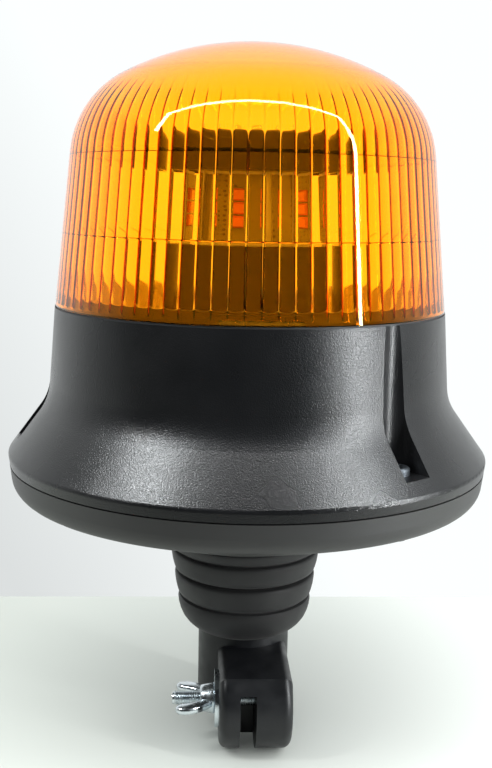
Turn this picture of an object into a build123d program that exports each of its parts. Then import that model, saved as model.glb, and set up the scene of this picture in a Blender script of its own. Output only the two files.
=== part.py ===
from build123d import *
import math
import os

# An amber warning beacon that drops onto a round pole.  Millimetres, +Z up.
# The origin is the centre of the pole socket's mouth, and the clamp lug points to -Y.

# ---------------------------------------------------------------- driving dimensions
# Pole socket and its split clamp
pole_d = 24.0
pole_clearance = 0.4  # on the diameter
pole_depth = 26.0
socket_wall = 4.45
collar_step = 1.6  # how far the moulded-in collar stands out of the tube
collar_bottom = 28.0
lug_reach = 30.0  # bolt axis, in front of the pole axis
lug_bolt_z = 8.5
lug_r = 16.5
lug_top = 20.7
ear_left = 7.0
ear_right = 12.3
ear_round = 3.0
slot_w = 5.4
slot_top = 16.0  # the ears are joined above this height
ear_web_t = 3.0  # thin web that joins the ears behind the bolt
ear_web_top = 3.0
ear_web_gap = 5.0  # from the bolt axis to the web

# Clamp fastener
bolt_d = 5.0
bolt_hole_clearance = 0.5
bolt_thread_clearance = 0.06
bolt_end_out = 16.0  # thread that stands out of the left ear
hex_flats = 8.0
hex_height = 3.5
hex_clearance = 0.3
washer_d = 19.5
washer_t = 1.4
nut_hub_d = 10.5
nut_hub_h = 5.0
wing_span = 23.0
wing_rise = 11.0
wing_t = 2.6
wing_rest_turn = 92.0  # about the bolt; 90 has the wings level

# Sprung centre contact
carrier_h = 10.0
carrier_wall = 2.0  # of the socket, round the carrier
earth_post_r = 1.2
contact_ring_t = 1.0
contact_ring_step = 0.5  # the ring's seat is this much smaller in radius than the bore
ledge_t = 2.0
ledge_hole_r = 9.0
pin_r = 2.45
pin_clearance = 0.05
pin_out = 0.8
pin_collar_r = 3.8
pin_collar_t = 1.5
spring_length = 6.0
spring_wire = 0.6
spring_turns = 4
chamber_r = 4.3
terminal_t = 1.2
terminal_out = 1.5

# Rubber neck
neck_bottom = 23.9
neck_rib_tops = (58.8, 53.8, 45.1, 35.9)
neck_rib_r = (28.2, 26.9, 25.6, 24.3)
neck_rib_taper = 1.3
neck_gap = 0.5  # least height between the clamp lug and the neck
neck_groove = 0.9  # depth and height of the groove between two ribs
neck_way_r = 14.0
neck_fit = 0.2
lip_r = 26.0
lip_t = 3.6
neck_hole_r = 22.0

# Retaining ring that clamps the neck's lip
ring_t = 2.0
ring_hole_r = 15.5
ring_r = 35.0
ring_boss_r = 31.0
ring_boss_d = 6.0
ring_screw_d = 3.0
ring_screw_count = 4

# Base dish and upper housing
wall = 3.0
dish_z = 59.0
dish_flat_r = 29.0
dish_corner = (82.6, 78.5)
dish_corner_round = 7.0
seam_z = 88.1
seam_gap = 0.5
seam_r = 83.7
rim_r = 84.2
rim_z = 91.5
rim_round = 1.8
rim_land = 6.0
waist_r = 70.2
waist_z = 110.5
waist_round = 18.0
deck_z = 141.5
deck_r = 67.8
deck_hole_r = 15.0

# Seal between dish and housing
seal_w = 2.0
seal_depth = 0.8
seal_inset = 2.6

# Screw pockets in the housing's flare
pocket_count = 3
pocket_azimuth = 37.0  # from -Y towards +X
pocket_axis_r = 72.0
pocket_r = 5.3
pocket_floor_z = 96.0
pocket_wall = 2.5
housing_screw_d = 3.9
housing_screw_length = 15.0
housing_head_d = 8.0
housing_head_h = 2.6
screw_gap = 0.1  # radial, between a screw and its hole
small_head = (5.6, 2.0)  # head diameter and height of the 3 mm screws

# Lens
lens_height = 88.2
lens_foot_r = 67.6
lens_shoulder_r = 62.2
lens_shoulder_z = 51.4
lens_shoulder_round = 33.0
lens_wall = 2.8
lens_gasket_t = 0.6
lens_turn = 25.0  # bayonet travel, degrees
bayonet_arc = 22.0
bayonet_t = 1.2
bayonet_gap = 0.3
lug_above_foot = 0.3
spigot_wall = 2.4
spigot_h = 4.2
hook_reach = 2.2

# Reflector that lies on the deck, round the pedestal
reflector_t = 0.8
reflector_gap = 0.4

# Light tower
pedestal_r = 31.0
pedestal_top_r = 29.5
pedestal_h = 22.0
pedestal_wall = 2.5
pedestal_boss_at = 21.5
pedestal_boss_d = 8.0
pedestal_screw_d = 3.5
pedestal_head = (6.6, 2.4)
pedestal_screw_length = 12.0
tower_turn = -11.0  # the front face's azimuth, from -Y towards +X
column_flats = 38.0
column_h = 24.0
column_way_r = 8.0
board_t = 1.6
board_w = 18.0
board_h = 22.0
led_count = 3
led_w = 4.8
led_h = 3.9
led_t = 1.8
led_pitch = 4.4
cap_r = 32.0
cap_h = 13.0
cap_wall = 2.2
cap_round = 5.0
tower_screw_d = 5.0
tower_screw_length = 18.0
tower_head = (9.5, 3.2)

# Driver electronics under the deck
driver_r = 46.0
driver_drop = 14.5
driver_boss_at = 40.0
driver_boss_d = 8.0
driver_screw_d = 3.0
driver_screw_length = 9.0
capacitor_d = 10.0
capacitor_h = 12.0
capacitor_at = (22.0, -20.0)
inductor_side = 12.0
inductor_h = 6.0
inductor_at = (-22.0, -18.0)
transistor_size = (10.0, 9.0, 4.4)
transistor_row_y = 24.0
transistor_pitch = 13.0
terminal_size = (16.0, 8.0, 10.0)
terminal_y = 22.0
wire_d = 2.2
lead_d = 1.6
lead_at = 4.5
lead_way_r = 1.2

# ---------------------------------------------------------------- derived places
bore_r = (pole_d + pole_clearance) / 2
tube_r = bore_r + socket_wall
collar_r = tube_r + collar_step
ledge_z = pole_depth + contact_ring_t
ring_seat_r = bore_r - contact_ring_step
carrier_r = tube_r - carrier_wall
earth_post_at = (ledge_hole_r + ring_seat_r) / 2
carrier_z = ledge_z + ledge_t
carrier_top = carrier_z + carrier_h
chamber_z = carrier_z + 1.0
terminal_z = chamber_z + pin_collar_t + spring_length
left_face = -slot_w / 2 - ear_left
right_face = slot_w / 2 + ear_right
dish_floor = dish_z + wall
ring_z = dish_floor + lip_t + 2 * neck_fit
boss_top = pocket_floor_z - wall
hex_r = hex_flats / math.sqrt(3)
lens_z = deck_z + lens_gasket_t
hook_r = lens_foot_r - lens_wall - 0.5 - bayonet_gap
spigot_r = hook_r - hook_reach
lug_z = lens_z + lug_above_foot
hook_z = lug_z + bayonet_t + bayonet_gap
tower_z = deck_z + pedestal_h
cap_z = tower_z + column_h
driver_z = deck_z - wall - driver_drop
tower_faces = [tower_turn + 60 * i for i in range(6)]
pocket_azimuths = [pocket_azimuth + 360 / pocket_count * i for i in range(pocket_count)]

LOW = (Align.CENTER, Align.CENTER, Align.MIN)
HIGH = (Align.CENTER, Align.CENTER, Align.MAX)


# ---------------------------------------------------------------- helpers
def disc(radius, bottom, top, x=0, y=0):
    """Upright cylinder between two heights."""
    return Pos(x, y, bottom) * Cylinder(radius, top - bottom, align=LOW)


def ring(outer, inner, bottom, top):
    return disc(outer, bottom, top) - disc(inner, bottom - 1, top + 1)


def turned(points, rounds=()):
    """Solid turned about Z from a closed (radius, height) outline with rounded corners."""
    face = make_face(Polyline(*points, close=True))
    for index, radius in rounds:
        corner = face.vertices().sort_by_distance((points[index][0], points[index][1], 0))[0]
        face = fillet(corner, radius)
    return revolve(Rot(90, 0, 0) * face, axis=Axis.Z)


def at_azimuth(shape, azimuth):
    """Turn a shape made in front of the axis (-Y) to an azimuth towards +X."""
    return Rot(0, 0, azimuth) * shape


def around(shape, count, first=0):
    """Copies of a shape made on the -Y side, evenly spaced about Z."""
    return [at_azimuth(shape, first + 360 / count * i) for i in range(count)]


def lying(shape):
    """Turn an upright shape so that its +Z points to -X."""
    return Rot(0, -90, 0) * shape


def save(name, *solids):
    parts = [solid for shape in solids for solid in shape.solids()]
    body = parts[0] if len(parts) == 1 else Compound(children=parts)
    export_step(body, os.path.join("parts", name + ".step"))


def pan_screw(diameter, head_d, head_h, length, pilot=True):
    """Cross-head screw standing head up, its head's underside at z = 0."""
    head = fillet(Cylinder(head_d / 2, head_h, align=LOW).edges().group_by(Axis.Z)[-1], head_h * 0.45)
    shank = Cylinder(diameter / 2, length, align=HIGH)
    shank = chamfer(shank.edges().group_by(Axis.Z)[0], diameter * 0.2)
    recess = Pos(0, 0, head_h) * Box(head_d * 0.55, head_d * 0.14, head_h, align=(Align.CENTER,) * 3)
    return head + shank - recess - Rot(0, 0, 90) * recess


# ---------------------------------------------------------------- pole socket
def clamp_lug():
    """Both ears as one block: a disc round the bolt, carried back to the tube."""
    top = min(lug_top, neck_bottom - neck_gap)
    side = Pos(-lug_reach, lug_bolt_z) * Circle(lug_r)
    side += make_face(Polyline((-lug_reach, 0), (0, 0), (0, top), (-lug_reach, top), close=True))
    side -= Pos(-lug_reach, top) * Rectangle(4 * lug_r, 2 * lug_r, align=(Align.CENTER, Align.MIN))
    block = extrude(Plane.YZ * side, right_face - left_face)
    return Pos(left_face, 0, 0) * fillet(block.faces().group_by(Axis.X)[0].edges()
                                         + block.faces().group_by(Axis.X)[-1].edges(), ear_round)


def pole_socket():
    tube = disc(tube_r, 0, carrier_top) + disc(collar_r, collar_bottom, carrier_top)
    socket = tube + clamp_lug()
    # pole bore, contact ledge and carrier seat
    socket -= disc(bore_r, -2 * lug_r, pole_depth)
    socket -= disc(ring_seat_r, 0, ledge_z)
    socket -= disc(ledge_hole_r, 0, carrier_top + 1)
    socket -= disc(carrier_r + screw_gap, carrier_z, carrier_top + 1)
    socket -= disc(earth_post_r + screw_gap, pole_depth, carrier_z + 1, x=earth_post_at)
    # the slot that lets the clamp close, from the lug's front to the bore, with a web behind the bolt
    slot_align = (Align.CENTER, Align.MAX, Align.MAX)
    slot = Box(slot_w, lug_reach + lug_r + 1, slot_top + 2 * lug_r, align=slot_align)
    web = Box(slot_w, ear_web_t, 2 * lug_r, align=(Align.CENTER, Align.MIN, Align.MAX))
    socket -= Pos(0, 0, slot_top) * slot - Pos(0, ear_web_gap - lug_reach, ear_web_top) * web
    # bolt hole and the hex pocket that keeps the bolt's head from turning
    hole = Cylinder((bolt_d + bolt_hole_clearance) / 2, 4 * lug_r)
    pocket = extrude(RegularPolygon(hex_r + hex_clearance, 6), hex_height + 1)
    socket -= Pos(0, -lug_reach, lug_bolt_z) * lying(hole)
    socket -= Pos(right_face - hex_height, -lug_reach, lug_bolt_z) * (Rot(0, 90, 0) * pocket)
    return socket


def clamp_bolt():
    head = extrude(RegularPolygon(hex_r, 6), hex_height)
    shank_length = right_face - hex_height - left_face + bolt_end_out
    shank = Cylinder(bolt_d / 2, shank_length, align=HIGH)
    shank = chamfer(shank.edges().group_by(Axis.Z)[0], bolt_d * 0.12)
    bolt = Rot(0, 90, 0) * (head + shank)
    return Pos(right_face - hex_height, -lug_reach, lug_bolt_z) * bolt


def clamp_washer():
    washer = Cylinder(washer_d / 2, washer_t, align=LOW)
    washer -= Cylinder(bolt_d / 2 + bolt_hole_clearance / 2, 4 * washer_t)
    return Pos(left_face, -lug_reach, lug_bolt_z) * lying(washer)


def wing_nut():
    hub = Cone(nut_hub_d / 2, nut_hub_d * 0.4, nut_hub_h, align=LOW)
    wing = Polyline((nut_hub_d * 0.2, 0.4), (nut_hub_d * 0.5, 0.4), (wing_span / 2, wing_rise * 0.75),
                    (wing_span / 2 - 1.5, wing_rise + 2.4), (wing_span / 2 - 5, wing_rise + 2.0),
                    (nut_hub_d * 0.2, nut_hub_h), close=True)
    wing = fillet(make_face(wing).vertices().sort_by(Axis.X)[-3:], 1.6)
    blade = extrude(Rot(90, 0, 0) * wing, wing_t / 2, both=True)
    nut = hub + blade + Rot(0, 0, 180) * blade
    nut -= Cylinder(bolt_d / 2 + bolt_thread_clearance, 6 * nut_hub_h)
    nut = Rot(0, 0, wing_rest_turn) * nut
    return Pos(left_face - washer_t, -lug_reach, lug_bolt_z) * lying(nut)


# ---------------------------------------------------------------- contacts inside the socket
def contact_carrier():
    carrier = disc(carrier_r, carrier_z, carrier_top) + disc(ledge_hole_r - 2 * screw_gap, ledge_z, carrier_z)
    carrier -= disc(pin_r + pin_clearance, 0, carrier_top)
    carrier -= disc(chamber_r, chamber_z, carrier_top + 1)
    carrier -= disc(earth_post_r + screw_gap, 0, carrier_top + 1, x=earth_post_at)
    return carrier


def centre_contact():
    pin = disc(pin_r, ledge_z - pin_out, chamber_z)
    pin = fillet(pin.edges().group_by(Axis.Z)[0], pin_r * 0.6)
    return pin + disc(pin_collar_r, chamber_z, chamber_z + pin_collar_t)


def contact_spring():
    low = chamber_z + pin_collar_t + spring_wire / 2 + 0.02
    height = spring_length - spring_wire - 0.04
    mean_r = pin_collar_r - spring_wire
    path = Helix(height / spring_turns, height, mean_r)
    section = Plane(origin=path @ 0, z_dir=path % 0) * Circle(spring_wire / 2)
    return Pos(0, 0, low) * sweep(section, path=path)


def terminal_cap():
    cap = disc(chamber_r - screw_gap / 2, terminal_z, terminal_z + terminal_t)
    return cap + disc(pin_r, terminal_z + terminal_t, carrier_top + terminal_out)


def earth_contact():
    post = disc(earth_post_r, pole_depth, carrier_top + terminal_out, x=earth_post_at)
    return ring(ring_seat_r - screw_gap, ledge_hole_r, pole_depth, ledge_z) + post


# ---------------------------------------------------------------- flexible neck
def flex_neck():
    """Ribbed rubber sleeve, moulded over the socket's collar and gripping the dish like a grommet."""
    top = neck_rib_tops[0]
    outline = [(neck_hole_r - neck_fit, top)]
    bottoms = [z + neck_groove for z in neck_rib_tops[1:]]
    for rib_top, rib_bottom, radius in zip(neck_rib_tops, bottoms, neck_rib_r):
        outline += [(radius, rib_top), (radius - neck_rib_taper, rib_bottom)]
        outline += [(radius - neck_rib_taper - neck_groove, rib_bottom - neck_groove / 2)]
    foot_top, foot_r = neck_rib_tops[-1], neck_rib_r[-1]
    foot_drop = foot_top - neck_bottom
    outline += [(foot_r, foot_top), (foot_r - 1.0, foot_top - foot_drop * 0.33)]
    outline += [(foot_r - 3.6, foot_top - foot_drop * 0.7), (tube_r + 0.6, neck_bottom)]
    outline += [(tube_r + neck_fit, neck_bottom), (tube_r + neck_fit, collar_bottom - neck_fit)]
    outline += [(collar_r + neck_fit, collar_bottom - neck_fit)]
    outline += [(collar_r + neck_fit, carrier_top + neck_fit)]
    outline += [(neck_way_r, carrier_top + neck_fit), (neck_way_r, dish_floor + neck_fit + lip_t)]
    outline += [(lip_r, dish_floor + neck_fit + lip_t), (lip_r, dish_floor + neck_fit)]
    outline += [(neck_hole_r - neck_fit, dish_floor + neck_fit)]
    return turned(outline)


def neck_retaining_ring():
    plate = ring(ring_r, ring_hole_r, ring_z, ring_z + ring_t)
    hole = disc(ring_screw_d / 2 + screw_gap, ring_z - 1, ring_z + ring_t + 1, y=-ring_boss_r)
    for cut in around(hole, ring_screw_count, 45):
        plate -= cut
    return plate


def ring_screws():
    length = ring_z + ring_t - dish_floor - 4 * screw_gap
    screw = Pos(0, -ring_boss_r, ring_z + ring_t) * pan_screw(ring_screw_d, *small_head, length)
    return around(screw, ring_screw_count, 45)


# ---------------------------------------------------------------- base dish
def dish_outline(inset):
    """(radius, height) of the dish's outside, moved in by a wall thickness."""
    corner_r, corner_z = dish_corner
    corner = (corner_r - inset, corner_z + inset)
    return [(dish_flat_r, dish_z + inset), corner, (seam_r - inset, seam_z - seam_gap)]


def base_dish():
    flat, corner, rim = dish_outline(0)
    inner_flat, inner_corner, inner_rim = dish_outline(wall)
    land_r = rim[0] - rim_land
    outline = [(neck_hole_r, flat[1]), flat, corner, rim, (land_r, rim[1]), (land_r, rim[1] - wall)]
    outline += [(inner_corner[0], inner_corner[1] + wall), inner_corner]
    outline += [inner_flat, (neck_hole_r, inner_flat[1])]
    dish = turned(outline, rounds=[(2, dish_corner_round)])
    slope = (inner_corner[1] - inner_flat[1]) / (inner_corner[0] - inner_flat[0])
    foot_z = inner_flat[1] + slope * (pocket_axis_r - housing_screw_d - inner_flat[0]) - wall / 2
    boss = disc(housing_screw_d, foot_z, boss_top - seam_gap, y=-pocket_axis_r)
    pilot = disc(housing_screw_d / 2 + screw_gap, pocket_floor_z - housing_screw_length - 1, boss_top + 1,
                 y=-pocket_axis_r)
    posts = around(boss, pocket_count, pocket_azimuth)
    cuts = around(pilot, pocket_count, pocket_azimuth)
    for post, cut in zip(posts, cuts):
        dish = dish + post - cut
    stud = disc(ring_boss_d / 2, dish_floor - screw_gap, ring_z, y=-ring_boss_r)
    hole = disc(ring_screw_d / 2 + screw_gap, dish_floor + screw_gap, ring_z + 1, y=-ring_boss_r)
    for post, cut in zip(around(stud, ring_screw_count, 45), around(hole, ring_screw_count, 45)):
        dish = dish + post - cut
    return dish


def housing_seal():
    outer = seam_r - seal_inset
    return ring(outer, outer - seal_w, seam_z - seam_gap, seam_z + seal_depth)


# ---------------------------------------------------------------- upper housing
def pocket_shape(radius, floor, top):
    """A screw pocket: round at the back, open to the outside, standing on -Y."""
    shape = disc(radius, floor, top, y=-pocket_axis_r)
    mouth = Box(2 * radius, rim_r, top - floor, align=(Align.CENTER, Align.MAX, Align.MIN))
    return shape + Pos(0, -pocket_axis_r, floor) * mouth


def bayonet_arc_ring(outer, inner, bottom, top, start):
    """Three short arcs of a ring, the first one beginning at an azimuth."""
    arcs = []
    for i in range(3):
        sector = CenterArc((0, 0), outer * 2, start + 120 * i, bayonet_arc)
        wedge = make_face(sector.edges() + Line((0, 0), sector @ 0).edges() + Line(sector @ 1, (0, 0)).edges())
        arcs.append(ring(outer, inner, bottom, top) & Pos(0, 0, bottom) * extrude(wedge, top - bottom))
    return arcs


def upper_housing():
    skin = [(seam_r, seam_z), (rim_r, rim_z), (waist_r, waist_z), (deck_r, deck_z)]
    outline = [(0, seam_z)] + skin + [(0, deck_z)]
    outside = turned(outline, rounds=[(2, rim_round), (3, waist_round)])
    land_r = seam_r - rim_land
    inner = [(0, seam_z - 1), (land_r, seam_z - 1), (land_r, seam_z + wall)]
    inner += [(rim_r - 2 * wall, rim_z + wall * 0.2)]
    inner += [(waist_r - wall, waist_z - wall * 0.5), (deck_r - wall, deck_z - wall), (0, deck_z - wall)]
    liners = [at_azimuth(pocket_shape(pocket_r + pocket_wall, boss_top, deck_z), a) & outside
              for a in pocket_azimuths]
    housing = outside - turned(inner)
    for liner in liners:
        housing += liner
    for azimuth in pocket_azimuths:
        housing -= at_azimuth(pocket_shape(pocket_r, pocket_floor_z, deck_z + 1), azimuth)
        screw_hole = disc(housing_screw_d / 2 + screw_gap, seam_z, deck_z, y=-pocket_axis_r)
        housing -= at_azimuth(screw_hole, azimuth)
    # seal groove and wire way
    outer = seam_r - seal_inset
    housing -= ring(outer + screw_gap, outer - seal_w - screw_gap, seam_z - 1, seam_z + seal_depth)
    housing -= disc(deck_hole_r, deck_z - 2 * wall, deck_z + 1)
    # ring with the bayonet hooks that hold the lens
    housing += ring(spigot_r, spigot_r - spigot_wall, deck_z - wall / 2, deck_z + spigot_h)
    for hook in bayonet_arc_ring(hook_r, spigot_r - 1, hook_z, hook_z + bayonet_t, -90 - bayonet_arc / 2):
        housing += hook
    # bosses for the driver board, and holes for the pedestal's screws
    boss = disc(driver_boss_d / 2, driver_z, deck_z - wall / 2, y=-driver_boss_at)
    pilot = disc(driver_screw_d / 2 + screw_gap, driver_z - 1, driver_z + driver_screw_length, y=-driver_boss_at)
    for post, cut in zip(around(boss, 3, 60), around(pilot, 3, 60)):
        housing = housing + post - cut
    pedestal_hole_r = pedestal_screw_d / 2 + screw_gap
    pedestal_hole = disc(pedestal_hole_r, deck_z - wall - 1, deck_z + 1, y=-pedestal_boss_at)
    for cut in around(pedestal_hole, 3):
        housing -= cut
    return housing


def housing_screws():
    screw = pan_screw(housing_screw_d, housing_head_d, housing_head_h, housing_screw_length)
    return around(Pos(0, -pocket_axis_r, pocket_floor_z) * screw, pocket_count, pocket_azimuth)


# ---------------------------------------------------------------- lens
def lens_outline(inset):
    """Half section of the dome, moved in by a wall: straight side, shoulder arc and crown arc."""
    top = lens_height
    taper = math.atan2(lens_foot_r - lens_shoulder_r, lens_shoulder_z)
    centre_r = lens_shoulder_r - lens_shoulder_round * math.cos(taper)
    centre_z = lens_shoulder_z - lens_shoulder_round * math.sin(taper)
    rest = top - lens_shoulder_round
    crown_z = (rest**2 - centre_r**2 - centre_z**2) / (2 * (rest - centre_z))
    crown_r = top - crown_z - inset
    shoulder_r = lens_shoulder_round - inset
    blend = math.atan2(centre_r, centre_z - crown_z)
    middle = (taper + math.pi / 2 - blend) / 2

    def on_shoulder(angle):
        return (centre_r + shoulder_r * math.cos(angle), centre_z + shoulder_r * math.sin(angle))

    foot = (lens_foot_r - inset / math.cos(taper), 0)
    side = Line(foot, on_shoulder(taper))
    shoulder = ThreePointArc(on_shoulder(taper), on_shoulder(middle), on_shoulder(math.pi / 2 - blend))
    crown = ThreePointArc(on_shoulder(math.pi / 2 - blend),
                          (crown_r * math.sin(blend / 2), crown_z + crown_r * math.cos(blend / 2)),
                          (0, crown_z + crown_r))
    axis = Line((0, crown_z + crown_r), (0, 0))
    base = Line((0, 0), foot)
    return make_face(side.edges() + shoulder.edges() + crown.edges() + axis.edges() + base.edges())


def lens():
    solid = revolve(Rot(90, 0, 0) * lens_outline(0), axis=Axis.Z)
    hollow = revolve(Rot(90, 0, 0) * lens_outline(lens_wall), axis=Axis.Z)
    dome = Pos(0, 0, lens_z) * (solid - hollow)
    start = -90 - bayonet_arc / 2
    lug_outer, lug_inner = lens_foot_r - lens_wall / 2, spigot_r + bayonet_gap
    for lug in bayonet_arc_ring(lug_outer, lug_inner, lug_z, lug_z + bayonet_t, start):
        dome += lug
    return dome


def deck_reflector():
    """White dish that lines the deck and the spigot, so the foot of the lens doesn't look dark."""
    outer = spigot_r - spigot_wall - reflector_gap
    floor = ring(outer, pedestal_r + reflector_gap, deck_z, deck_z + reflector_t)
    return floor + ring(outer, outer - reflector_t, deck_z, deck_z + spigot_h)


def lens_gasket():
    return ring(lens_foot_r - 0.2, lens_foot_r - lens_wall, deck_z, lens_z)


# ---------------------------------------------------------------- light tower
def pedestal():
    outer = [(0, deck_z), (pedestal_r, deck_z), (pedestal_top_r, tower_z), (0, tower_z)]
    inner = [(0, deck_z - 1), (pedestal_r - pedestal_wall, deck_z - 1)]
    inner += [(pedestal_top_r - pedestal_wall, tower_z - pedestal_wall), (0, tower_z - pedestal_wall)]
    body = turned(outer) - turned(inner)
    body -= disc(column_way_r, deck_z, tower_z + 1)
    boss = disc(pedestal_boss_d / 2, deck_z, tower_z - pedestal_wall / 2, y=-pedestal_boss_at)
    pilot = disc(pedestal_screw_d / 2 + screw_gap, deck_z - 1, deck_z + pedestal_screw_length, y=-pedestal_boss_at)
    for post, cut in zip(around(boss, 3), around(pilot, 3)):
        body = body + post - cut
    return body


def pedestal_screws():
    screw = Rot(180, 0, 0) * pan_screw(pedestal_screw_d, *pedestal_head, pedestal_screw_length)
    return around(Pos(0, -pedestal_boss_at, deck_z - wall) * screw, 3)


def heat_sink():
    """Six-sided aluminium column with a wire way below and a screw hole above."""
    column = extrude(RegularPolygon(column_flats / math.sqrt(3), 6), column_h)
    column = Pos(0, 0, tower_z) * (Rot(0, 0, tower_turn) * column)
    column -= disc(tower_screw_d / 2 + screw_gap, tower_z - 1, cap_z + 1)
    for side in (-1, 1):
        column -= disc(lead_way_r, tower_z - 1, cap_z + 1, x=side * lead_at)
    return column


def on_face(shape, azimuth):
    """Place a shape made around the origin, facing -Y, on one face of the column."""
    return at_azimuth(Pos(0, -column_flats / 2, tower_z + column_h / 2) * shape, azimuth)


def led_board():
    return Box(board_w, board_t, board_h, align=(Align.CENTER, Align.MAX, Align.CENTER))


def led_row():
    rows = []
    for i in range(led_count):
        led = Box(led_w, led_t, led_h, align=(Align.CENTER, Align.MAX, Align.CENTER))
        led = chamfer(led.edges().group_by(Axis.Y)[0], 0.5)
        rows.append(Pos(0, -board_t, (i - (led_count - 1) / 2) * led_pitch) * led)
    return rows


def link_board():
    plate = disc(column_flats / 2 - 0.5, cap_z, cap_z + board_t)
    plate -= disc(tower_screw_d / 2 + screw_gap, cap_z - 1, cap_z + board_t + 1)
    for side in (-1, 1):
        plate -= disc(lead_way_r, cap_z - 1, cap_z + board_t + 1, x=side * lead_at)
    return plate


def led_leads():
    low = driver_z - board_t - 1.0
    return [disc(lead_d / 2, low, cap_z + board_t, x=side * lead_at) for side in (-1, 1)]


def tower_cap():
    skin = [(0, cap_z), (cap_r, cap_z), (cap_r - 0.6, cap_z + cap_h), (0, cap_z + cap_h)]
    outside = turned(skin, rounds=[(2, cap_round)])
    inside = turned([(0, cap_z - 1), (cap_r - cap_wall, cap_z - 1), (cap_r - cap_wall - 0.6, cap_z + cap_h - cap_wall),
                     (0, cap_z + cap_h - cap_wall)], rounds=[(2, cap_round - cap_wall)])
    core = disc(column_way_r, cap_z + board_t, cap_z + cap_h - cap_wall / 2)
    cap = outside - inside + core
    cap -= disc(tower_screw_d / 2 + screw_gap, cap_z, cap_z + cap_h + 1)
    cap -= disc(lead_at + lead_way_r, cap_z, cap_z + board_t + lead_d)
    return cap


def tower_screw():
    screw = pan_screw(tower_screw_d, *tower_head, cap_h + tower_screw_length)
    return Pos(0, 0, cap_z + cap_h) * screw


# ---------------------------------------------------------------- driver electronics
def driver_board():
    plate = disc(driver_r, driver_z - board_t, driver_z)
    for side in (-1, 1):
        plate -= disc(lead_d / 2 + screw_gap, driver_z - 3, driver_z + 1, x=side * lead_at)
    screw_way = disc(driver_screw_d / 2 + screw_gap, driver_z - 3, driver_z + 1, y=-driver_boss_at)
    for cut in around(screw_way, 3, 60):
        plate -= cut
    return plate


def board_screws():
    screw = Rot(180, 0, 0) * pan_screw(driver_screw_d, *small_head, driver_screw_length)
    return around(Pos(0, -driver_boss_at, driver_z - board_t) * screw, 3, 60)


def filter_capacitor():
    can = disc(capacitor_d / 2, driver_z, driver_z + capacitor_h, *capacitor_at)
    return fillet(can.edges().group_by(Axis.Z)[-1], 0.8)


def storage_inductor():
    core = Box(inductor_side, inductor_side, inductor_h, align=LOW)
    core = fillet(core.edges().filter_by(Axis.Z), 2.0)
    return Pos(*inductor_at, driver_z) * core


def driver_transistors():
    width, depth, height = transistor_size
    package = Pos(0, transistor_row_y, driver_z) * Box(width, depth, height, align=LOW)
    return [Pos(transistor_pitch * i, 0, 0) * package for i in (-1, 0, 1)]


def terminal_block():
    width, depth, height = terminal_size
    block = Box(width, depth, height, align=HIGH)
    for side in (-1, 1):
        block -= Pos(side * width / 4, 0, -height) * Cylinder(wire_d / 2 + screw_gap, height * 1.2)
    return Pos(0, terminal_y, driver_z - board_t) * block


def supply_wire(start, side):
    """Lead from a socket contact, up the neck and into one way of the terminal block."""
    width, depth, height = terminal_size
    entry_x = side * width / 4
    entry_z = driver_z - board_t - height * 0.6
    points = [start, (start[0], 0, start[2] + 9), (side * 3.5, 1.5, start[2] + 22)]
    points += [(side * 4.0, terminal_y - 6, entry_z - 22), (entry_x, terminal_y, entry_z - 10)]
    points += [(entry_x, terminal_y, entry_z)]
    path = FilletPolyline(*points, radius=[12, 20, 24, 14])
    section = Plane(origin=path @ 0, z_dir=path % 0) * Circle(wire_d / 2)
    return sweep(section, path=path)


# ---------------------------------------------------------------- write every piece
os.makedirs("parts", exist_ok=True)

save("pole_socket", pole_socket())
save("clamp_bolt", clamp_bolt())
save("clamp_washer", clamp_washer())
save("wing_nut", wing_nut())
save("contact_carrier", contact_carrier())
save("centre_contact", centre_contact())
save("contact_spring", contact_spring())
save("terminal_cap", terminal_cap())
save("earth_contact", earth_contact())
save("flex_neck", flex_neck())
save("neck_retaining_ring", neck_retaining_ring())
save("ring_screws", *ring_screws())
save("base_dish", base_dish())
save("housing_seal", housing_seal())
save("upper_housing", upper_housing())
save("housing_screws", *housing_screws())
save("lens", lens())
save("lens_gasket", lens_gasket())
save("deck_reflector", deck_reflector())
save("pedestal", pedestal())
save("pedestal_screws", *pedestal_screws())
save("heat_sink", heat_sink())
for number, azimuth in enumerate(tower_faces, 1):
    save(f"led_board_{number}", on_face(led_board(), azimuth))
    save(f"led_row_{number}", *[on_face(led, azimuth) for led in led_row()])
save("link_board", link_board())
save("led_leads", *led_leads())
save("tower_cap", tower_cap())
save("tower_screw", tower_screw())
save("driver_board", driver_board())
save("board_screws", *board_screws())
save("filter_capacitor", filter_capacitor())
save("storage_inductor", storage_inductor())
save("driver_transistors", *driver_transistors())
save("terminal_block", terminal_block())
save("positive_wire", supply_wire((0, 0, carrier_top + terminal_out), -1))
save("earth_wire", supply_wire((earth_post_at, 0, carrier_top + terminal_out), 1))
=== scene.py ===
# %% [markdown]
# # An amber warning beacon on a flexible pole socket
#
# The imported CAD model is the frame: it says where every piece is and which body it moves with.
# This lesson gives that frame its looks. We add a camera, a floor and lamps, then the finishes,
# and then the few pieces whose real shape is finer than the CAD solid: the fluted lens, the
# ribbed rubber neck, the threaded bolt and the wing nut.

# %% Load the frame
import math

import bmesh
import bpy
from mathutils import Matrix, Vector


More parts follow.
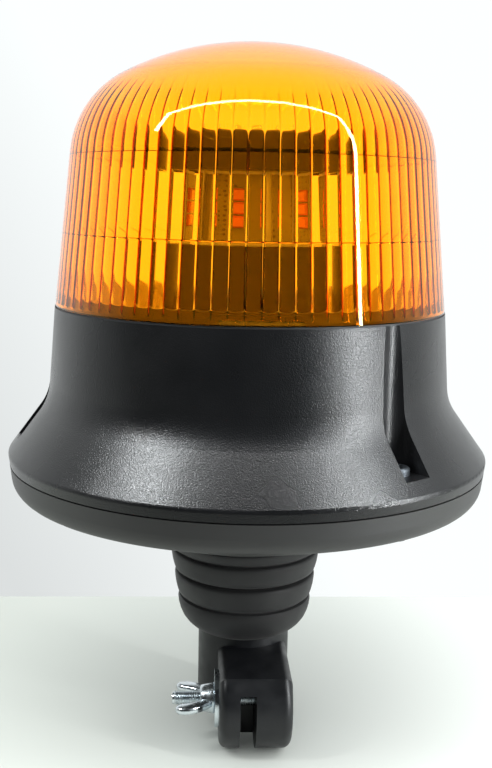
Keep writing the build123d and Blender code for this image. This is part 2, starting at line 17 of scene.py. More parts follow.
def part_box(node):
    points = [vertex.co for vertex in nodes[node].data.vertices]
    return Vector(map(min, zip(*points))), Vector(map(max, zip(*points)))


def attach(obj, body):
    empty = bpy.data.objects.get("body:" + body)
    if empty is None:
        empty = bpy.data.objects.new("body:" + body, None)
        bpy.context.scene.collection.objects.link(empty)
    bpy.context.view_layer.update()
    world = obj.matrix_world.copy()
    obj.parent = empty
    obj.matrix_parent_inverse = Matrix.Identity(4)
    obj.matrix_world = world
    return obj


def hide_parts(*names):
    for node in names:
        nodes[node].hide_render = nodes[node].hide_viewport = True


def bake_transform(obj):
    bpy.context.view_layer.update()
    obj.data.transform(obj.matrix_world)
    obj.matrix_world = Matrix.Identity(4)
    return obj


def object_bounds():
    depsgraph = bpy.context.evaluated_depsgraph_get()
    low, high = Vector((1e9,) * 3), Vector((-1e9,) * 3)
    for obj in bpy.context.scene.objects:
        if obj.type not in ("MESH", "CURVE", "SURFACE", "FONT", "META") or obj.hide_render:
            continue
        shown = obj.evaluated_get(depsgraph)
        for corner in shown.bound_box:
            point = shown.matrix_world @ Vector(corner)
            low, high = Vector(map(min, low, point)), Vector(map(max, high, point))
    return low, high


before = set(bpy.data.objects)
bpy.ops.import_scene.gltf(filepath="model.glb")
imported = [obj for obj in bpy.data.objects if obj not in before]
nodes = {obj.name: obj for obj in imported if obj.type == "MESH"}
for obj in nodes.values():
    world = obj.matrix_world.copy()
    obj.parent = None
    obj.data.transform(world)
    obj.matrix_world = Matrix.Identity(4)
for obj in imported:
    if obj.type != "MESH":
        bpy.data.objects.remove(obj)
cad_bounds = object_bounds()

MM = 0.001
scene = bpy.context.scene

# %% [markdown]
# ## Camera, floor and lamps
#
# The beacon is seen from a little above its lens foot, almost square on. A camera could be aimed
# with a Track To constraint, but a matrix built from three plain turns (heading, tilt, roll) is
# easier to read and can't drift.

# %% Camera
heading, tilt, roll = math.radians(-2.87), math.radians(80.05), math.radians(1.15)
camera_distance = 365.6 * MM
camera_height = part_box("lens")[0][2] + 35.6 * MM

camera_data = bpy.data.cameras.new("camera")
camera_data.lens = 48.65
camera_data.clip_start = 0.01
camera = bpy.data.objects.new("camera", camera_data)
scene.collection.objects.link(camera)
side = math.radians(-3.0)
place = Vector((camera_distance * math.sin(side), -camera_distance * math.cos(side),
                camera_height))
turn = (Matrix.Rotation(heading, 4, "Z") @ Matrix.Rotation(tilt, 4, "X")
        @ Matrix.Rotation(roll, 4, "Z"))
camera.matrix_world = Matrix.Translation(place) @ turn
scene.camera = camera
print("camera at", [round(v, 4) for v in place])

# %% [markdown]
# Amber plastic and white light clip easily. The Standard view transform keeps the lens as strong
# a yellow as the eye sees, where a filmic one would wash it out.

# %% View
scene.view_settings.view_transform = "Standard"


# %% [markdown]
# ## Two small helpers for materials
#
# Colours are read off as sRGB hex, and a shader wants linear light. `add` makes one node, sets
# what it is told and wires what it is given.

# %% Helpers for materials
def linear(code):
    """sRGB hex to linear red, green, blue and an alpha of one."""
    parts = [int(code[i:i + 2], 16) / 255 for i in (0, 2, 4)]
    return [c / 12.92 if c <= 0.04045 else ((c + 0.055) / 1.055) ** 2.4 for c in parts] + [1.0]


def add(tree, kind, settings=(), links=()):
    """One node, with settings as (name, value) pairs and links as (input, socket) pairs."""
    node = tree.nodes.new(kind)
    for name, value in settings:
        if name in node.inputs:
            node.inputs[name].default_value = value
        else:
            setattr(node, name, value)
    for name, socket in links:
        tree.links.new(socket, node.inputs[name])
    return node


def new_material(name, code, roughness, metallic=0.0, extra=()):
    """A material with a Principled shader, and the object coordinates its patterns read."""
    material = bpy.data.materials.new(name)
    material.use_nodes = True
    tree = material.node_tree
    shader = tree.nodes["Principled BSDF"]
    shader.inputs["Base Color"].default_value = linear(code)
    shader.inputs["Roughness"].default_value = roughness
    shader.inputs["Metallic"].default_value = metallic
    for socket, value in extra:
        shader.inputs[socket].default_value = value
    place = add(tree, "ShaderNodeTexCoord").outputs["Object"]
    return material, tree, shader, place


def noise(tree, place, size_mm, detail=2.0):
    """Noise whose blobs are about size_mm across."""
    return add(tree, "ShaderNodeTexNoise", [("Scale", 1 / (size_mm * MM)), ("Detail", detail)],
               [("Vector", place)]).outputs["Fac"]


def vary(tree, factor, low, high, start=0.35, end=0.65):
    """Turn a pattern into a value between low and high."""
    return add(tree, "ShaderNodeMapRange", [("From Min", start), ("From Max", end), ("To Min", low),
               ("To Max", high)], [("Value", factor)]).outputs["Result"]


def tint(tree, factor, first, second):
    """Turn a pattern into a colour between two others, each a hex code or a socket."""
    node = add(tree, "ShaderNodeMix", [("data_type", "RGBA")])
    for name, code in (("A", first), ("B", second)):
        socket = [s for s in node.inputs if s.name == name and s.type == "RGBA"][0]
        if isinstance(code, str):
            socket.default_value = linear(code)
        else:
            tree.links.new(code, socket)
    tree.links.new(factor, node.inputs["Factor"])
    return [s for s in node.outputs if s.type == "RGBA"][0]


def bump(tree, shader, height, depth_mm, strength=1.0):
    """Feed a height pattern into the shader's normal."""
    settings = [("Distance", depth_mm * MM), ("Strength", strength)]
    node = add(tree, "ShaderNodeBump", settings, [("Height", height)])
    tree.links.new(node.outputs["Normal"], shader.inputs["Normal"])


def give(material, *pieces):
    """Put one material on CAD nodes, by name, or on new pieces."""
    for piece in pieces:
        piece = nodes[piece] if isinstance(piece, str) else piece
        piece.data.materials.clear()
        piece.data.materials.append(material)
    print(material.name, "->", len(pieces), "pieces")


# %% [markdown]
# ## Studio
#
# A pale floor ends just behind the beacon, where a white wall starts. The floor carries painted
# shade, darker towards the left, and a painted shadow in front of the beacon. The wall is painted
# a little darker towards the lower left, as painted shade. Black plastic shows only what it
# mirrors, so glossy rays see a room that is bright behind and dark in front, while others see an
# even light. A big soft box would do the same but would also show on the lens. Rays that come
# through the lens see a brighter room, which keeps the amber as strong as the eye sees it beside
# black. Three thin lamps in an upside-down U draw the white line that runs over the dome.

# %% Floor
floor_size, floor_back = 1.6, 0.106
floor_z = cad_bounds[0][2] - 0.0004
bm = bmesh.new()
bmesh.ops.create_grid(bm, x_segments=1, y_segments=1, size=floor_size / 2)
bmesh.ops.translate(bm, vec=(0, floor_back - floor_size / 2, floor_z), verts=bm.verts)
mesh = bpy.data.meshes.new("studio_floor")
bm.to_mesh(mesh)
bm.free()
studio_floor = bpy.data.objects.new("studio_floor", mesh)
scene.collection.objects.link(studio_floor)

paper, tree, shader, place = new_material("pale_paper", "D6DAD4", 0.6)
axes = add(tree, "ShaderNodeSeparateXYZ", links=[("Vector", place)]).outputs
# Painted shade: the floor's colour runs darker towards the left, and a painted shadow darkens it to
# a deep grey in front of the beacon.
across = tint(tree, vary(tree, axes["X"], 0.0, 1.0, -0.11, 0.09), "D8DDD6", "F1F5F0")
shade = vary(tree, axes["Y"], 0.0, 1.0, -0.30, -0.07)
tree.links.new(tint(tree, shade, "2E302E", across), shader.inputs["Base Color"])
mesh.materials.append(paper)
print("floor at", round(floor_z, 4))

# %% World
world = bpy.data.worlds.new("studio")
scene.world = world
world.use_nodes = True
tree = world.node_tree
background = tree.nodes["Background"]
direction = add(tree, "ShaderNodeTexCoord").outputs["Generated"]
axes = add(tree, "ShaderNodeSeparateXYZ", links=[("Vector", direction)])
path = add(tree, "ShaderNodeLightPath").outputs
mirrored = vary(tree, axes.outputs["Y"], 0.01, 1.1, -0.35, 0.50)
even = add(tree, "ShaderNodeMix", [("data_type", "FLOAT"), ("A", 1.0)],
           [("Factor", path["Is Glossy Ray"]), ("B", mirrored)])
clear = add(tree, "ShaderNodeMix", [("data_type", "FLOAT"), ("B", 2.4)],
            [("Factor", path["Is Transmission Ray"]), ("A", even.outputs["Result"])])
# Painted shade: camera rays see the wall a little darker towards the lower left.
lean = [("Rotation", (0.0, math.radians(31), 0.0))]
leant = add(tree, "ShaderNodeMapping", lean, [("Vector", direction)]).outputs["Vector"]
up_right = add(tree, "ShaderNodeSeparateXYZ", links=[("Vector", leant)]).outputs["X"]
seen = vary(tree, up_right, 0.80, 1.10, -0.32, -0.05)
glow = add(tree, "ShaderNodeMix", [("data_type", "FLOAT")],
           [("Factor", path["Is Camera Ray"]), ("A", clear.outputs["Result"]), ("B", seen)])
background.inputs["Color"].default_value = linear("F3F7F7")
tree.links.new(glow.outputs["Result"], background.inputs["Strength"])


# %% Lamps
def strip_lamp(name, place, size, power, aim):
    """A flat lamp of size (across, up) in metres, facing a point."""
    data = bpy.data.lights.new(name, "AREA")
    data.shape = "RECTANGLE"
    data.size, data.size_y = size
    data.energy = power
    lamp = bpy.data.objects.new(name, data)
    scene.collection.objects.link(lamp)
    look = (Vector(aim) - Vector(place)).normalized()
    turn = look.to_track_quat("-Z", "Y").to_matrix().to_4x4()
    lamp.matrix_world = Matrix.Translation(place) @ turn
    return lamp


middle = Vector((0, 0, 0.16))


def around(azimuth, height, reach):
    """A place round the object: azimuth 0 is in front, and positive is to the right."""
    angle = math.radians(azimuth - 3.0)
    return middle + Vector((reach * math.sin(angle), -reach * math.cos(angle), height))


strip_lamp("strip_right", around(60, -0.02, 0.5), (0.020, 0.94), 3.0,
           middle + Vector((0, 0, -0.02)))
strip_lamp("strip_left", around(-60, 0.36, 0.5), (0.024, 0.22), 1.1,
           middle + Vector((0, 0, 0.36)))
strip_lamp("strip_top", around(0, 0.45, 0.25), (0.86, 0.022), 2.2, middle)

# %% [markdown]
# The grainy housing blurs the same lamps, so they would look weak on it. Two more stand in the
# same directions, and light linking keeps them off the lens, whose lines must stay thin.

# %% Housing lamps
unlit = bpy.data.collections.new("unlit_by_housing_lamps")
flare = middle + Vector((0, 0, -0.05))
housing_left = strip_lamp("housing_left", around(-58, 0.38, 0.42), (0.03, 0.12), 2.4, flare)
housing_right = strip_lamp("housing_right", around(60, 0.14, 0.5), (0.035, 0.74), 5.0, flare)
for lamp in (housing_left, housing_right):
    lamp.data.color = (0.92, 0.98, 1.0)
    lamp.light_linking.receiver_collection = unlit


def keep_off(*pieces):
    """Leave these pieces out of the housing lamps' light."""
    for piece in pieces:
        unlit.objects.link(piece)
    for entry in unlit.collection_objects:
        entry.light_linking.link_state = "EXCLUDE"


keep_off(studio_floor)


# %% [markdown]
# ## Finishes
#
# Each finish starts from what the real material is, and its patterns are sized in millimetres.

# %% [markdown]
# **Spark-eroded ABS.** The housing's mould was textured by sparks, which leaves a fine even
# grain. Where a lamp is mirrored, single grains glint, and elsewhere the plastic stays a deep
# soft black. The real grain is about 0.2 mm, and it is drawn at 0.4 mm so that it shows.

# %% Housing plastic
housing_black, tree, shader, place = new_material("black_abs_spark_eroded", "0D0D0F", 0.30)
grain = noise(tree, place, 0.40, 1.0)
broad = noise(tree, place, 22)
tree.links.new(tint(tree, broad, "090A0B", "0F0F11"), shader.inputs["Base Color"])
tree.links.new(vary(tree, broad, 0.27, 0.33), shader.inputs["Roughness"])
bump(tree, shader, grain, 0.10, 1.0)
give(housing_black, "upper_housing")

dish_black, tree, shader, place = new_material("black_abs_fine", "262626", 0.48)
grain = noise(tree, place, 0.45, 1.0)
broad = noise(tree, place, 18)
tree.links.new(tint(tree, broad, "232323", "292928"), shader.inputs["Base Color"])
bump(tree, shader, grain, 0.03, 0.4)
give(dish_black, "base_dish")

# %% [markdown]
# **Gloss black ABS** for the tower inside: the same plastic from a polished mould, so it mirrors
# the flutes as thin bright lines.

# %% Tower plastic
tower_black, tree, shader, place = new_material("black_abs_polished", "0C0B0B", 0.12,
                                                extra=[("Specular IOR Level", 0.15)])
broad = noise(tree, place, 8)
tree.links.new(vary(tree, broad, 0.08, 0.18), shader.inputs["Roughness"])
give(tower_black, "pedestal", "tower_cap")

# %% [markdown]
# **Glass-filled nylon** for the pole socket: short fibres reach the surface, so it is a little
# cloudy and satin, with a faint flow pattern.

# %% Socket plastic
socket_black, tree, shader, place = new_material("black_nylon_glass_filled", "0D0E10", 0.42,
                                                 extra=[("Specular IOR Level", 0.36)])
flow = noise(tree, place, 6, 4.0)
fibre = noise(tree, place, 0.4, 2.0)
tree.links.new(tint(tree, flow, "0A0B0D", "121316"), shader.inputs["Base Color"])
tree.links.new(vary(tree, flow, 0.34, 0.50), shader.inputs["Roughness"])
bump(tree, shader, fibre, 0.015, 0.4)
give(socket_black, "pole_socket")

# %% [markdown]
# **Moulded rubber** for the neck and seals: dark grey rather than black, with almost no shine.

# %% Rubber
rubber, tree, shader, place = new_material("moulded_rubber", "161617", 0.62,
                                           extra=[("Sheen Weight", 0.08)])
bloom = noise(tree, place, 9, 3.0)
pore = noise(tree, place, 0.5, 1.0)
tree.links.new(tint(tree, bloom, "141415", "1C1C1E"), shader.inputs["Base Color"])
tree.links.new(vary(tree, bloom, 0.56, 0.68), shader.inputs["Roughness"])
bump(tree, shader, pore, 0.02, 0.4)
give(rubber, "housing_seal", "lens_gasket", "flex_neck")

# %% [markdown]
# ** Bright zinc plate** on steel: a cool, slightly blue mirror with a fine cloudiness. The housing
# screws sit deep in their pockets, and their zinc is painted darker there as painted shade.

# %% Zinc
zinc, tree, shader, place = new_material("bright_zinc_plate", "C9D2D6", 0.24, 1.0)
cloud = noise(tree, place, 2.4, 3.0)
tree.links.new(tint(tree, cloud, "C2CDD6", "DCE0E0"), shader.inputs["Base Color"])
tree.links.new(vary(tree, cloud, 0.18, 0.30), shader.inputs["Roughness"])
bump(tree, shader, cloud, 0.012, 0.2)
give(zinc, "clamp_washer", "clamp_bolt", "wing_nut", "ring_screws", "pedestal_screws",
     "board_screws", "tower_screw", "neck_retaining_ring")

# Painted shade: the housing screws' zinc is made dark to stand in for the shade of their pockets.
painted_shade_zinc, tree, shader, place = new_material("painted_shade_zinc_plate", "4E5256", 0.5, 1.0)
cloud = noise(tree, place, 1.5, 3.0)
tree.links.new(tint(tree, cloud, "40454A", "5C6064"), shader.inputs["Base Color"])
give(painted_shade_zinc, "housing_screws")

# %% [markdown]
# **Brass** on the pole contacts, turned on a lathe, and **drawn spring steel**.

# %% Contact metals
brass, tree, shader, place = new_material("turned_brass", "C9A257", 0.28, 1.0)
cloud = noise(tree, place, 1.0, 2.0)
tree.links.new(tint(tree, cloud, "B98F45", "D6B36C"), shader.inputs["Base Color"])
give(brass, "centre_contact", "terminal_cap", "earth_contact")

spring_steel, tree, shader, place = new_material("drawn_spring_steel", "8C8D90", 0.3, 1.0)
cloud = noise(tree, place, 0.6, 2.0)
tree.links.new(vary(tree, cloud, 0.22, 0.38), shader.inputs["Roughness"])
give(spring_steel, "contact_spring")

# %% [markdown]
# **Extruded aluminium** for the column that carries the light boards. The die leaves fine
# upright lines, which are noise stretched along Z.

# %% Aluminium
aluminium, tree, shader, place = new_material("extruded_aluminium", "B9BBBD", 0.35, 1.0)
stretch = add(tree, "ShaderNodeMapping", [("Scale", (1.0, 1.0, 0.02))], [("Vector", place)])
lines = noise(tree, stretch.outputs["Vector"], 0.3, 1.0)
tree.links.new(vary(tree, lines, 0.28, 0.45), shader.inputs["Roughness"])
bump(tree, shader, lines, 0.01, 0.4)
give(aluminium, "heat_sink")

# %% [markdown]
# **Circuit board**: olive solder mask over glass fibre, with rows of small tinned pads, which a
# Voronoi texture scatters as dots 1.6 mm apart.

# %% Boards
board, tree, shader, place = new_material("solder_mask_board", "3A4218", 0.35)
dots = add(tree, "ShaderNodeTexVoronoi", [("Scale", 1 / (1.6 * MM)), ("Randomness", 0.35)],
           [("Vector", place)]).outputs["Distance"]
pads = vary(tree, dots, 1.0, 0.0, 0.22, 0.30)
tree.links.new(tint(tree, pads, "7C7A30", "3A3210"), shader.inputs["Base Color"])
bump(tree, shader, pads, 0.03, 0.5)
board_nodes = [name for name in nodes if name.startswith("led_board_")]
give(board, "driver_board", "link_board", *board_nodes)

# %% [markdown]
# **Light-emitting rows**: orange phosphor under clear silicone. They are drawn unlit, as on a
# shelf, with only the gloss of the silicone.

# %% Light rows
emitter, tree, shader, place = new_material("orange_silicone", "E8571A", 0.2,
                                            extra=[("Coat Weight", 0.6)])
cloud = noise(tree, place, 1.2, 2.0)
tree.links.new(tint(tree, cloud, "C94516", "EE6E2C"), shader.inputs["Base Color"])
give(emitter, *[name for name in nodes if name.startswith("led_row_")])


# %% [markdown]
# **Small parts inside** share a recipe: one moulded colour with a faint mottling. Each still gets
# its own name and tone.

# %% Small parts
def mottled(name, first, second, roughness):
    """A plain finish that drifts between two tones."""
    material, tree, shader, place = new_material(name, first, roughness)
    cloud = noise(tree, place, 3.0, 2.0)
    tree.links.new(tint(tree, cloud, first, second), shader.inputs["Base Color"])
    bump(tree, shader, cloud, 0.02, 0.2)
    return material


give(mottled("natural_acetal", "E4E2DA", "EDECE6", 0.4), "contact_carrier")
give(mottled("white_reflector_film", "F0F0EA", "F8F8F4", 0.08), "deck_reflector")
give(mottled("sleeved_can", "20242E", "2A2F3B", 0.3), "filter_capacitor")
give(mottled("sintered_ferrite", "3A3A3C", "454548", 0.6), "storage_inductor")
give(mottled("epoxy_package", "141414", "1D1D1E", 0.45), "driver_transistors")
give(mottled("green_polyamide", "2F7D3C", "378B46", 0.35), "terminal_block")
red_pvc = mottled("red_pvc", "A81E18", "B82A22", 0.4)
black_pvc = mottled("black_pvc", "161616", "1E1E1E", 0.4)
give(red_pvc, "positive_wire", "led_leads")
give(black_pvc, "earth_wire")


# %% [markdown]
# ## Modelling helpers
#
# Round pieces start as an outline of (radius, height) points in millimetres, which the spin
# operator turns about Z. A full spin merges its last ring into its first.

# %% Helpers for meshes
def arc(centre, radius, start, end, count):
    """Points on a circle, from one angle to another, in degrees, both ends included."""
    angles = [math.radians(start + (end - start) * i / (count - 1)) for i in range(count)]
    return [(centre[0] + radius * math.cos(a), centre[1] + radius * math.sin(a)) for a in angles]


def spun(outline, steps, closed=True):
    """A bmesh turned from an outline of (radius, height) in mm."""
    bm = bmesh.new()
    ring = [bm.verts.new((r * MM, 0, z * MM)) for r, z in outline]
    edges = [bm.edges.new(pair) for pair in zip(ring, ring[1:])]
    if closed:
        edges.append(bm.edges.new((ring[-1], ring[0])))
    bmesh.ops.spin(bm, geom=ring + edges, cent=(0, 0, 0), axis=(0, 0, 1), dvec=(0, 0, 0),
                   angle=2 * math.pi, steps=steps, use_merge=True)
    bmesh.ops.remove_doubles(bm, verts=bm.verts, dist=1e-6)
    bmesh.ops.recalc_face_normals(bm, faces=bm.faces)
    return bm


def finished(name, bm, material, sharp_angle=40.0):
    """Turn a bmesh into a shown piece, smooth except where its faces meet sharply."""
    for face in bm.faces:
        face.smooth = True
    for edge in bm.edges:
        if len(edge.link_faces) == 2 and edge.calc_face_angle(0) > math.radians(sharp_angle):
            edge.smooth = False
    mesh = bpy.data.meshes.new(name)
    bm.to_mesh(mesh)
    bm.free()
    mesh.materials.append(material)
    piece = bpy.data.objects.new(name, mesh)
    scene.collection.objects.link(piece)
    print(name, "faces:", len(mesh.polygons))
    return piece


# %% [markdown]
# ## The lens
#
# The dome is amber polycarbonate, smooth outside so that it wipes clean, with upright flutes
# inside that spread the flash. A texture could fake the flutes, but only real glass geometry
# bends the dark tower into the broken bands that one sees. We turn the section, then push the
# inner wall inwards between the flutes' lines.

# %% Lens section
lens_low, lens_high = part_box("lens")
lens_z = lens_low[2] / MM
foot_r = (lens_high[0] - lens_low[0]) / 2 / MM
lens_h = (lens_high[2] - lens_low[2]) / MM
shoulder_r, shoulder_z, shoulder_round = 62.2, 51.4, 33.0
lens_wall = 2.5


def dome_section(inset, heights):
    """The dome's side at the given heights, then its shoulder and crown, moved in by a wall."""
    taper = math.atan2(foot_r - shoulder_r, shoulder_z)
    centre = (shoulder_r - shoulder_round * math.cos(taper),
              shoulder_z - shoulder_round * math.sin(taper))
    rest = lens_h - shoulder_round
    crown_z = (rest**2 - centre[0]**2 - centre[1]**2) / (2 * (rest - centre[1]))
    blend = math.degrees(math.atan2(centre[1] - crown_z, centre[0]))
    side = [(foot_r - inset / math.cos(taper) - z * math.tan(taper), z) for z in heights]
    shoulder = arc(centre, shoulder_round - inset, math.degrees(taper), blend, 14)
    crown = arc((0, crown_z), lens_h - crown_z - inset, blend, 90, 12)
    return [(r, z + lens_z) for r, z in side + shoulder + crown[1:]]


flute_count, flute_depth, flute_steps = 84, 0.20, 10
flute_groove, line_ridge = 0.22, 0.25
flute_start, flute_full = 1.0, 1.6  # heights where the flutes begin, above the lens foot
flute_tip_r, flute_fade = 49.0, 7.0  # where they end, on the shoulder, and how gently
line_heights = (24.1, 49.9)  # two fine lines where the mould's inserts met
line_half = 0.2


def flute_rows():
    """Heights of the inner wall's rows, close together where the flutes start and at the lines."""
    rows = [0.0, 0.5, flute_start, flute_full]
    for low, line in zip((flute_full, line_heights[0]), line_heights):
        rows += [low + (line - low) * share for share in (0.33, 0.66)]
        rows += [line - line_half, line, line + line_half]
    return sorted(set(rows))[:-1]


outer = dome_section(0.0, [0.0, 0.6, 12, 24, 36, 48])
inner = dome_section(lens_wall, flute_rows())
outline = outer + inner[::-1]
print("lens outline points:", len(outline))


# %% Lens flutes
def flute_share(height, radius):
    """How deep the flutes are here, from none (0) to full (1)."""
    share = min(1.0, max(0.0, (height - flute_start) / (flute_full - flute_start)))
    fade = min(1.0, max(0.0, (radius - flute_tip_r) / flute_fade))
    return share * fade * fade * (3 - 2 * fade)


bm = spun(outline, flute_count * flute_steps)
for vert in bm.verts:
    radius = math.hypot(vert.co.x, vert.co.y) / MM
    height = vert.co.z / MM - lens_z
    outside = min(abs(radius - r) + abs(vert.co.z / MM - z) for r, z in outer)
    if outside < 0.01 or radius < 1.0:
        continue
    share = flute_share(height, radius)
    phase = (math.atan2(vert.co.y, vert.co.x) / (2 * math.pi) * flute_count) % 1.0
    bulge = 1 - (2 * phase - 1) ** 2
    cusp = max(0.0, 1 - min(phase, 1 - phase) * flute_steps)
    ridge = max(0.0, 1 - min(abs(height - line) for line in line_heights) / line_half)
    inward = share * (flute_depth * bulge - flute_groove * cusp) + line_ridge * ridge
    vert.co.x *= 1 - inward / radius
    vert.co.y *= 1 - inward / radius

# %% [markdown]
# Three short tabs inside the foot catch under the housing's hooks when the lens is twisted.

# %% Lens tabs
tab_arc, tab_low, tab_high = 22.0, 0.3, 1.5
tab_in, tab_out = 62.3, foot_r - 1.4  # the outer end is buried in the wall


def tab(first):
    """A short arc of a square ring, closed at both ends."""
    corners = [(tab_in, tab_low), (tab_out, tab_low), (tab_out, tab_high), (tab_in, tab_high)]
    start = [bm.verts.new((r * MM, 0, (z + lens_z) * MM)) for r, z in corners]
    face = bm.faces.new(start)
    turn = Matrix.Rotation(math.radians(first), 3, "Z")
    bmesh.ops.rotate(bm, verts=start, cent=(0, 0, 0), matrix=turn)
    bmesh.ops.spin(bm, geom=[face], cent=(0, 0, 0), axis=(0, 0, 1), dvec=(0, 0, 0),
                   angle=math.radians(tab_arc), steps=6)


for turn_count in range(3):
    tab(-90 - tab_arc / 2 + 120 * turn_count)
bmesh.ops.recalc_face_normals(bm, faces=bm.faces)

# %% [markdown]
# **Tinted polycarbonate.** The tint is in the plastic, not on it, so a grazing look through more
# wall is a deeper orange. The shader is clear glass with the index of polycarbonate, and a volume
# absorbs blue strongly and green a little.

# %% Lens material
amber, tree, shader, place = new_material("amber_polycarbonate", "FFFFFF", 0.02,
                                          extra=[("Transmission Weight", 1.0), ("IOR", 1.585),
                                                 ("Specular Tint", (1.0, 0.8, 0.35, 1.0))])
handling = noise(tree, place, 12, 4.0)
tree.links.new(vary(tree, handling, 0.012, 0.05), shader.inputs["Roughness"])
absorb = add(tree, "ShaderNodeVolumeAbsorption",
             [("Color", (0.995, 0.785, 0.03, 1.0)), ("Density", 1000.0)])
tree.links.new(absorb.outputs["Volume"], tree.nodes["Material Output"].inputs["Volume"])
lens_piece = finished("fluted_lens", bm, amber, 30.0)
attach(lens_piece, "lens")
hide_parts("lens")
keep_off(lens_piece)


# %% [markdown]
# ## The rubber neck
#
# Four swollen ribs with narrow undercut grooves, like a concertina. The neck crosses both tilt
# joints, so it is made as two halves, a lower and an upper, that meet in a groove.

# %% Neck outline
neck_low, neck_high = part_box("flex_neck")
neck_bottom, neck_lip_top = neck_low[2] / MM, neck_high[2] / MM
dish_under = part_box("base_dish")[0][2] / MM
tube_r, way_r = 16.65, 14.0  # the socket's tube, and the way for the wires
collar_r, collar_low, collar_high = 18.45, 27.8, 39.2  # the room for the socket's collar
lip_r, lip_thick, hole_r = 26.0, 3.6, 21.8  # the lip, and where the dish's hole grips the neck
rib_tops = (dish_under - 0.2, 53.8, 45.1, 35.9)
rib_r = (28.2, 26.9, 25.6, 24.3)
groove = 0.9


def rib(top, bottom, radius):
    """One swollen rib, from its top groove to its bottom one."""
    height = top - bottom
    shape = [(-1.6, 0.0), (-0.5, 0.01), (-0.12, 0.05), (0.0, 0.14), (-0.12, 0.32), (-0.4, 0.55),
             (-0.85, 0.78), (-1.25, 0.93), (-2.1, 1.0)]
    return [(radius + out, top - height * down) for out, down in shape]


split_z = rib_tops[2] + groove / 2
upper_outline = [(hole_r, rib_tops[0])] + rib(rib_tops[0], rib_tops[1] + groove, rib_r[0])
upper_outline += rib(rib_tops[1], rib_tops[2] + groove, rib_r[1])
upper_outline += [(way_r, split_z), (way_r, neck_lip_top), (lip_r, neck_lip_top)]
upper_outline += [(lip_r, neck_lip_top - lip_thick), (hole_r, neck_lip_top - lip_thick)]
lower_outline = [(way_r, split_z)] + rib(rib_tops[2], rib_tops[3] + groove, rib_r[2])
foot_z = rib_tops[3]
drop = foot_z - neck_bottom
foot = [(-1.6, 0.0), (-0.4, 0.02), (0.0, 0.1), (-0.2, 0.25), (-0.75, 0.42), (-1.7, 0.6),
        (-3.1, 0.76), (-4.9, 0.9)]
lower_outline += [(rib_r[3] + out, foot_z - drop * down) for out, down in foot]
lower_outline += [(tube_r + 0.6, neck_bottom)]
lower_outline += [(tube_r + 0.2, neck_bottom), (tube_r + 0.2, collar_low)]
lower_outline += [(collar_r, collar_low), (collar_r, collar_high), (way_r, collar_high)]

# %% Neck halves
neck_upper = finished("neck_upper", spun(upper_outline, 96), rubber, 50.0)
neck_lower = finished("neck_lower", spun(lower_outline, 96), rubber, 50.0)
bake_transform(neck_lower)
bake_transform(neck_upper)
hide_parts("flex_neck")
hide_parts("flex_neck")
keep_off(neck_lower, neck_upper)


# %% [markdown]
# ## The clamp bolt
#
# A machine thread is a ridge that climbs one pitch each turn. Displacing a cylinder with a
# texture would do from afar, but a true helix catches the light along its flanks. Each step round
# adds a short profile, whose last point is the first point of the next turn's profile.

# %% Bolt
seat_low, seat_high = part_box("clamp_washer")
bolt_low, bolt_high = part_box("clamp_bolt")
bolt_y, bolt_z = (seat_low[1] + seat_high[1]) / 2, (seat_low[2] + seat_high[2]) / 2
thread_r, thread_core, pitch, turn_steps = 2.5, 2.06, 0.8, 24
head_height, end_length = 3.5, 0.5
head_flats, head_ease = 8.0, 0.995  # across its flats, and a touch under the CAD size
rod_segments = 32


def thread(bm, start, end):
    """A closed helical ridge along X between two places, in mm."""
    profile = [(thread_core, 0.0), (thread_r, 0.36), (thread_r, 0.48), (thread_core, 0.84)]
    turns = int((end - start) / pitch) - 1
    rings = {}
    for step in range(turns * turn_steps + turn_steps + 1):
        angle = 2 * math.pi * step / turn_steps
        for index, (radius, share) in enumerate(profile):
            if step > turns * turn_steps and index:
                continue
            x = start + pitch * (step / turn_steps + share)
            across, up = radius * math.cos(angle) * MM, radius * math.sin(angle) * MM
            rings[step, index] = bm.verts.new((x * MM, across + bolt_y, up + bolt_z))

    def point(step, index):
        return rings[step, index] if index < len(profile) else rings[step + turn_steps, 0]

    for step in range(turns * turn_steps):
        for index in range(len(profile)):
            corners = [(step, index), (step + 1, index), (step + 1, index + 1), (step, index + 1)]
            bm.faces.new([point(*corner) for corner in corners])
    open_edges = [edge for edge in bm.edges if edge.is_boundary]
    bmesh.ops.holes_fill(bm, edges=open_edges, sides=0)


def rod(bm, radius, low, high, segments, bevel=0.0):
    """A closed rod along X, between two places in mm, with its ends' edges bevelled."""
    place = Matrix.Translation(((low + high) / 2 * MM, bolt_y, bolt_z))
    place = place @ Matrix.Rotation(math.pi / 2, 4, "Y")
    made = bmesh.ops.create_cone(bm, cap_ends=True, segments=segments, radius1=radius * MM,
                                 radius2=radius * MM, depth=(high - low) * MM, matrix=place)
    if bevel:
        rims = {edge for vert in made["verts"] for edge in vert.link_edges
                if abs(edge.verts[0].co.x - edge.verts[1].co.x) < 1e-7}
        bmesh.ops.bevel(bm, geom=list(rims), offset=bevel * MM, offset_type="OFFSET", segments=2,
                        profile=0.5, affect="EDGES", material=-1)


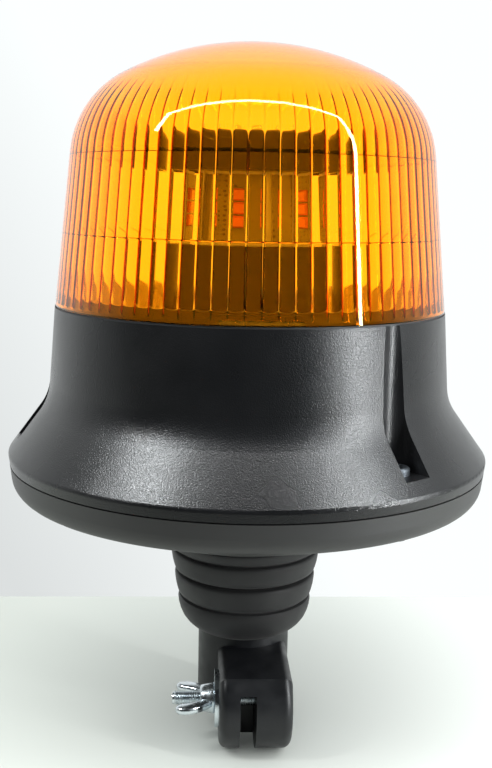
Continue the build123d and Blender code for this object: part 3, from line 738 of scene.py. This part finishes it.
bm = bmesh.new()
bolt_start, bolt_end = bolt_high[0] / MM - head_height, bolt_low[0] / MM
thread(bm, bolt_end + end_length, bolt_start)
rod(bm, thread_core, bolt_end, bolt_start + 0.5, rod_segments, 0.35)
head_corner_r = head_flats / 2 / math.cos(math.radians(30)) * head_ease
rod(bm, head_corner_r, bolt_start, bolt_high[0] / MM, 6, 0.3)
bmesh.ops.recalc_face_normals(bm, faces=bm.faces)
bolt_piece = finished("threaded_bolt", bm, zinc, 35.0)
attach(bolt_piece, "socket")
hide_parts("clamp_bolt")

# %% [markdown]
# ## The wing nut
#
# It is a casting, so every edge is soft. The hub is turned, and each wing is a plate whose edges
# are bevelled nearly to a full round.

# %% Wing nut
wing_turn = math.radians(92.0)
wing_half, wing_round = 1.3, 1.0
nut_place = (Matrix.Translation((seat_low[0], bolt_y, bolt_z))
             @ Matrix.Rotation(-math.pi / 2, 4, "Y") @ Matrix.Rotation(wing_turn, 4, "Z"))
hub = [(2.6, 0.0), (5.0, 0.0), (5.25, 0.3), (5.2, 0.9), (4.9, 2.0), (4.55, 3.6), (4.3, 4.6),
       (3.9, 4.95), (2.6, 5.0)]
nut_bm = spun(hub, 48)
wing = [(2.9, 0.5), (4.9, 0.5), (6.4, 1.6), (8.4, 3.6), (10.2, 6.0), (11.2, 8.6), (11.35, 11.0),
        (10.6, 12.7), (9.2, 13.3), (7.8, 12.9), (6.9, 11.6), (6.2, 9.2), (5.0, 6.6), (3.8, 4.9),
        (2.9, 4.5)]
for side in (1, -1):
    verts = [nut_bm.verts.new((side * r * MM, -wing_half * MM, h * MM)) for r, h in wing]
    face = nut_bm.faces.new(verts)
    made = bmesh.ops.extrude_face_region(nut_bm, geom=[face])["geom"]
    moved = [item for item in made if isinstance(item, bmesh.types.BMVert)]
    bmesh.ops.translate(nut_bm, vec=(0, 2 * wing_half * MM, 0), verts=moved)
    both = set(verts) | set(moved)
    rims = [edge for edge in nut_bm.edges if edge.verts[0] in both and edge.verts[1] in both
            and abs(edge.verts[0].co.y - edge.verts[1].co.y) < 1e-7]
    bmesh.ops.bevel(nut_bm, geom=rims, offset=wing_round * MM, offset_type="OFFSET", segments=3,
                    profile=0.5, affect="EDGES", material=-1, clamp_overlap=True)
bmesh.ops.recalc_face_normals(nut_bm, faces=nut_bm.faces)
bmesh.ops.transform(nut_bm, matrix=nut_place, verts=nut_bm.verts)
nut_piece = finished("cast_wing_nut", nut_bm, zinc, 60.0)
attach(nut_piece, "nut")
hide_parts("wing_nut")
